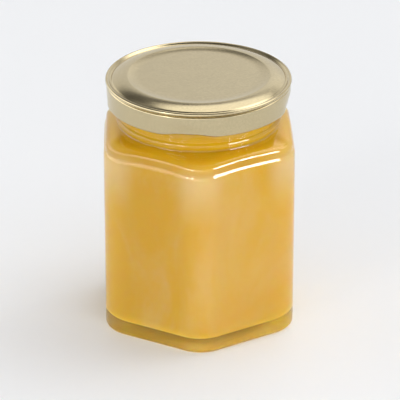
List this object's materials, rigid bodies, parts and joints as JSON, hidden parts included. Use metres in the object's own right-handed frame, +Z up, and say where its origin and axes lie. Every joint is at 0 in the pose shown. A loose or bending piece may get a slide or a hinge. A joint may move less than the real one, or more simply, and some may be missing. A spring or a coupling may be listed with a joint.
{
  "type": "honey jar",
  "caption": "Six-sided clear glass jar filled with creamy set honey and closed with a gold-coloured twist-off cap.",
  "frame": {"origin": "centre of the foot, on the surface that the jar stands on", "axes": "+Z up along the jar's axis; +X and -X through the middle of two flat sides; +Y and -Y through two upright corners"},
  "size_m": [0.0688, 0.0756, 0.0935],
  "materials": {
    "clear_glass": "clear soda-lime glass, smooth and glossy",
    "set_honey": "creamy set honey, opaque and slightly translucent at the edges",
    "gold_tinplate": "pale gold lacquer over tinplate, satin gloss"
  },
  "bodies": {
    "root": {"jar": "clear_glass", "honey": "set_honey", "lid": "gold_tinplate"}
  },
  "joints": []
}
